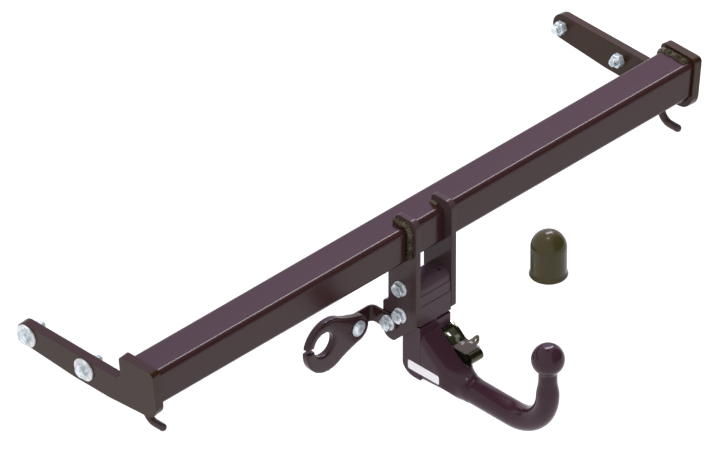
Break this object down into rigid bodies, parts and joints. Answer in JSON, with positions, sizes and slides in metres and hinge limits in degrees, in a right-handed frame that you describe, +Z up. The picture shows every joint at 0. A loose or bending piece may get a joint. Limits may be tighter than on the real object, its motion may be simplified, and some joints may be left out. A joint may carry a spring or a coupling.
{
  "type": "detachable towbar",
  "caption": "Cross beam with bolted side arms, a centre receiver, a drop-out ball neck with a release lever, a swivelling socket holder and a ball cap.",
  "frame": {"origin": "middle of the four chassis bolts, on the car's centre plane", "axes": "+X to the car's right along the beam, -Y back towards the trailer, +Z up"},
  "size_m": [1.1342, 0.552, 0.3765],
  "materials": {
    "dark_paint": "glossy stoved powder paint",
    "neck_paint": "glossy stoved paint over a forging",
    "zinc_plate": "bright bluish zinc",
    "lever_zinc": "polished greenish zinc",
    "bright_steel": "ground steel",
    "cap_polymer": "smooth moulded",
    "holder_polymer": "moulded, glossy"
  },
  "bodies": {
    "frame": {"cross_beam": "dark_paint", "end_plate_left": "dark_paint", "end_plate_right": "dark_paint", "end_welds": "dark_paint", "hanger_rod_left": "dark_paint", "hanger_rod_right": "dark_paint", "rod_welds": "dark_paint", "bracket_plate_left": "dark_paint", "bracket_plate_right": "dark_paint", "bracket_welds": "dark_paint", "receiver_housing": "dark_paint", "receiver_screws": "zinc_plate", "receiver_washers": "zinc_plate", "strap_bolt": "zinc_plate", "strap_washer": "zinc_plate", "strap_nut": "zinc_plate", "socket_strap": "dark_paint", "pivot_bolt": "zinc_plate", "pivot_nut": "zinc_plate", "chassis_bolts": "zinc_plate", "chassis_washers": "zinc_plate", "chassis_nuts": "zinc_plate"},
    "neck": {"neck_head": "neck_paint", "ball_bar": "neck_paint"},
    "plunger": {"lock_plunger": "bright_steel", "lock_spring": "bright_steel"},
    "ball_left": {"lock_ball_left": "bright_steel"},
    "ball_right": {"lock_ball_right": "bright_steel"},
    "lever": {"lever_shaft": "lever_zinc", "lock_lever": "lever_zinc"},
    "holder": {"socket_holder": "holder_polymer"},
    "cap": {"ball_cap": "cap_polymer"}
  },
  "joints": [
    {"name": "neck_slide", "type": "slide", "parent": "frame", "child": "neck", "axis": [0, 0, -1], "range_m": [0, 0.1]},
    {"name": "lever_turn", "type": "hinge", "parent": "neck", "child": "lever", "pos_m": [0, -0.211, -0.14687], "axis": [-1, 0, 0], "range_deg": [0, 30]},
    {"name": "plunger_slide", "type": "slide", "parent": "neck", "child": "plunger", "axis": [0, 0, -1], "range_m": [0, 0.00725], "deforming": ["lock_spring"]},
    {"name": "ball_left_slide", "type": "slide", "parent": "neck", "child": "ball_left", "axis": [-1, 0, 0], "range_m": [0, 0.0025]},
    {"name": "ball_right_slide", "type": "slide", "parent": "neck", "child": "ball_right", "axis": [1, 0, 0], "range_m": [0, 0.0025]},
    {"name": "holder_swivel", "type": "hinge", "parent": "frame", "child": "holder", "pos_m": [-0.088, -0.1398, -0.11987], "axis": [0, 1, 0], "range_deg": [-60, 45]},
    {"name": "cap_slide", "type": "slide", "parent": "neck", "child": "cap", "axis": [0, 0, 1], "range_m": [-0.1983, 0]}
  ],
  "couplings": [
    {"joint": "plunger_slide", "follows": "lever_turn", "m_per_rad": 0.013841},
    {"joint": "ball_left_slide", "follows": "lever_turn", "m_per_rad": 0.0047746},
    {"joint": "ball_right_slide", "follows": "lever_turn", "m_per_rad": 0.0047746}
  ]
}
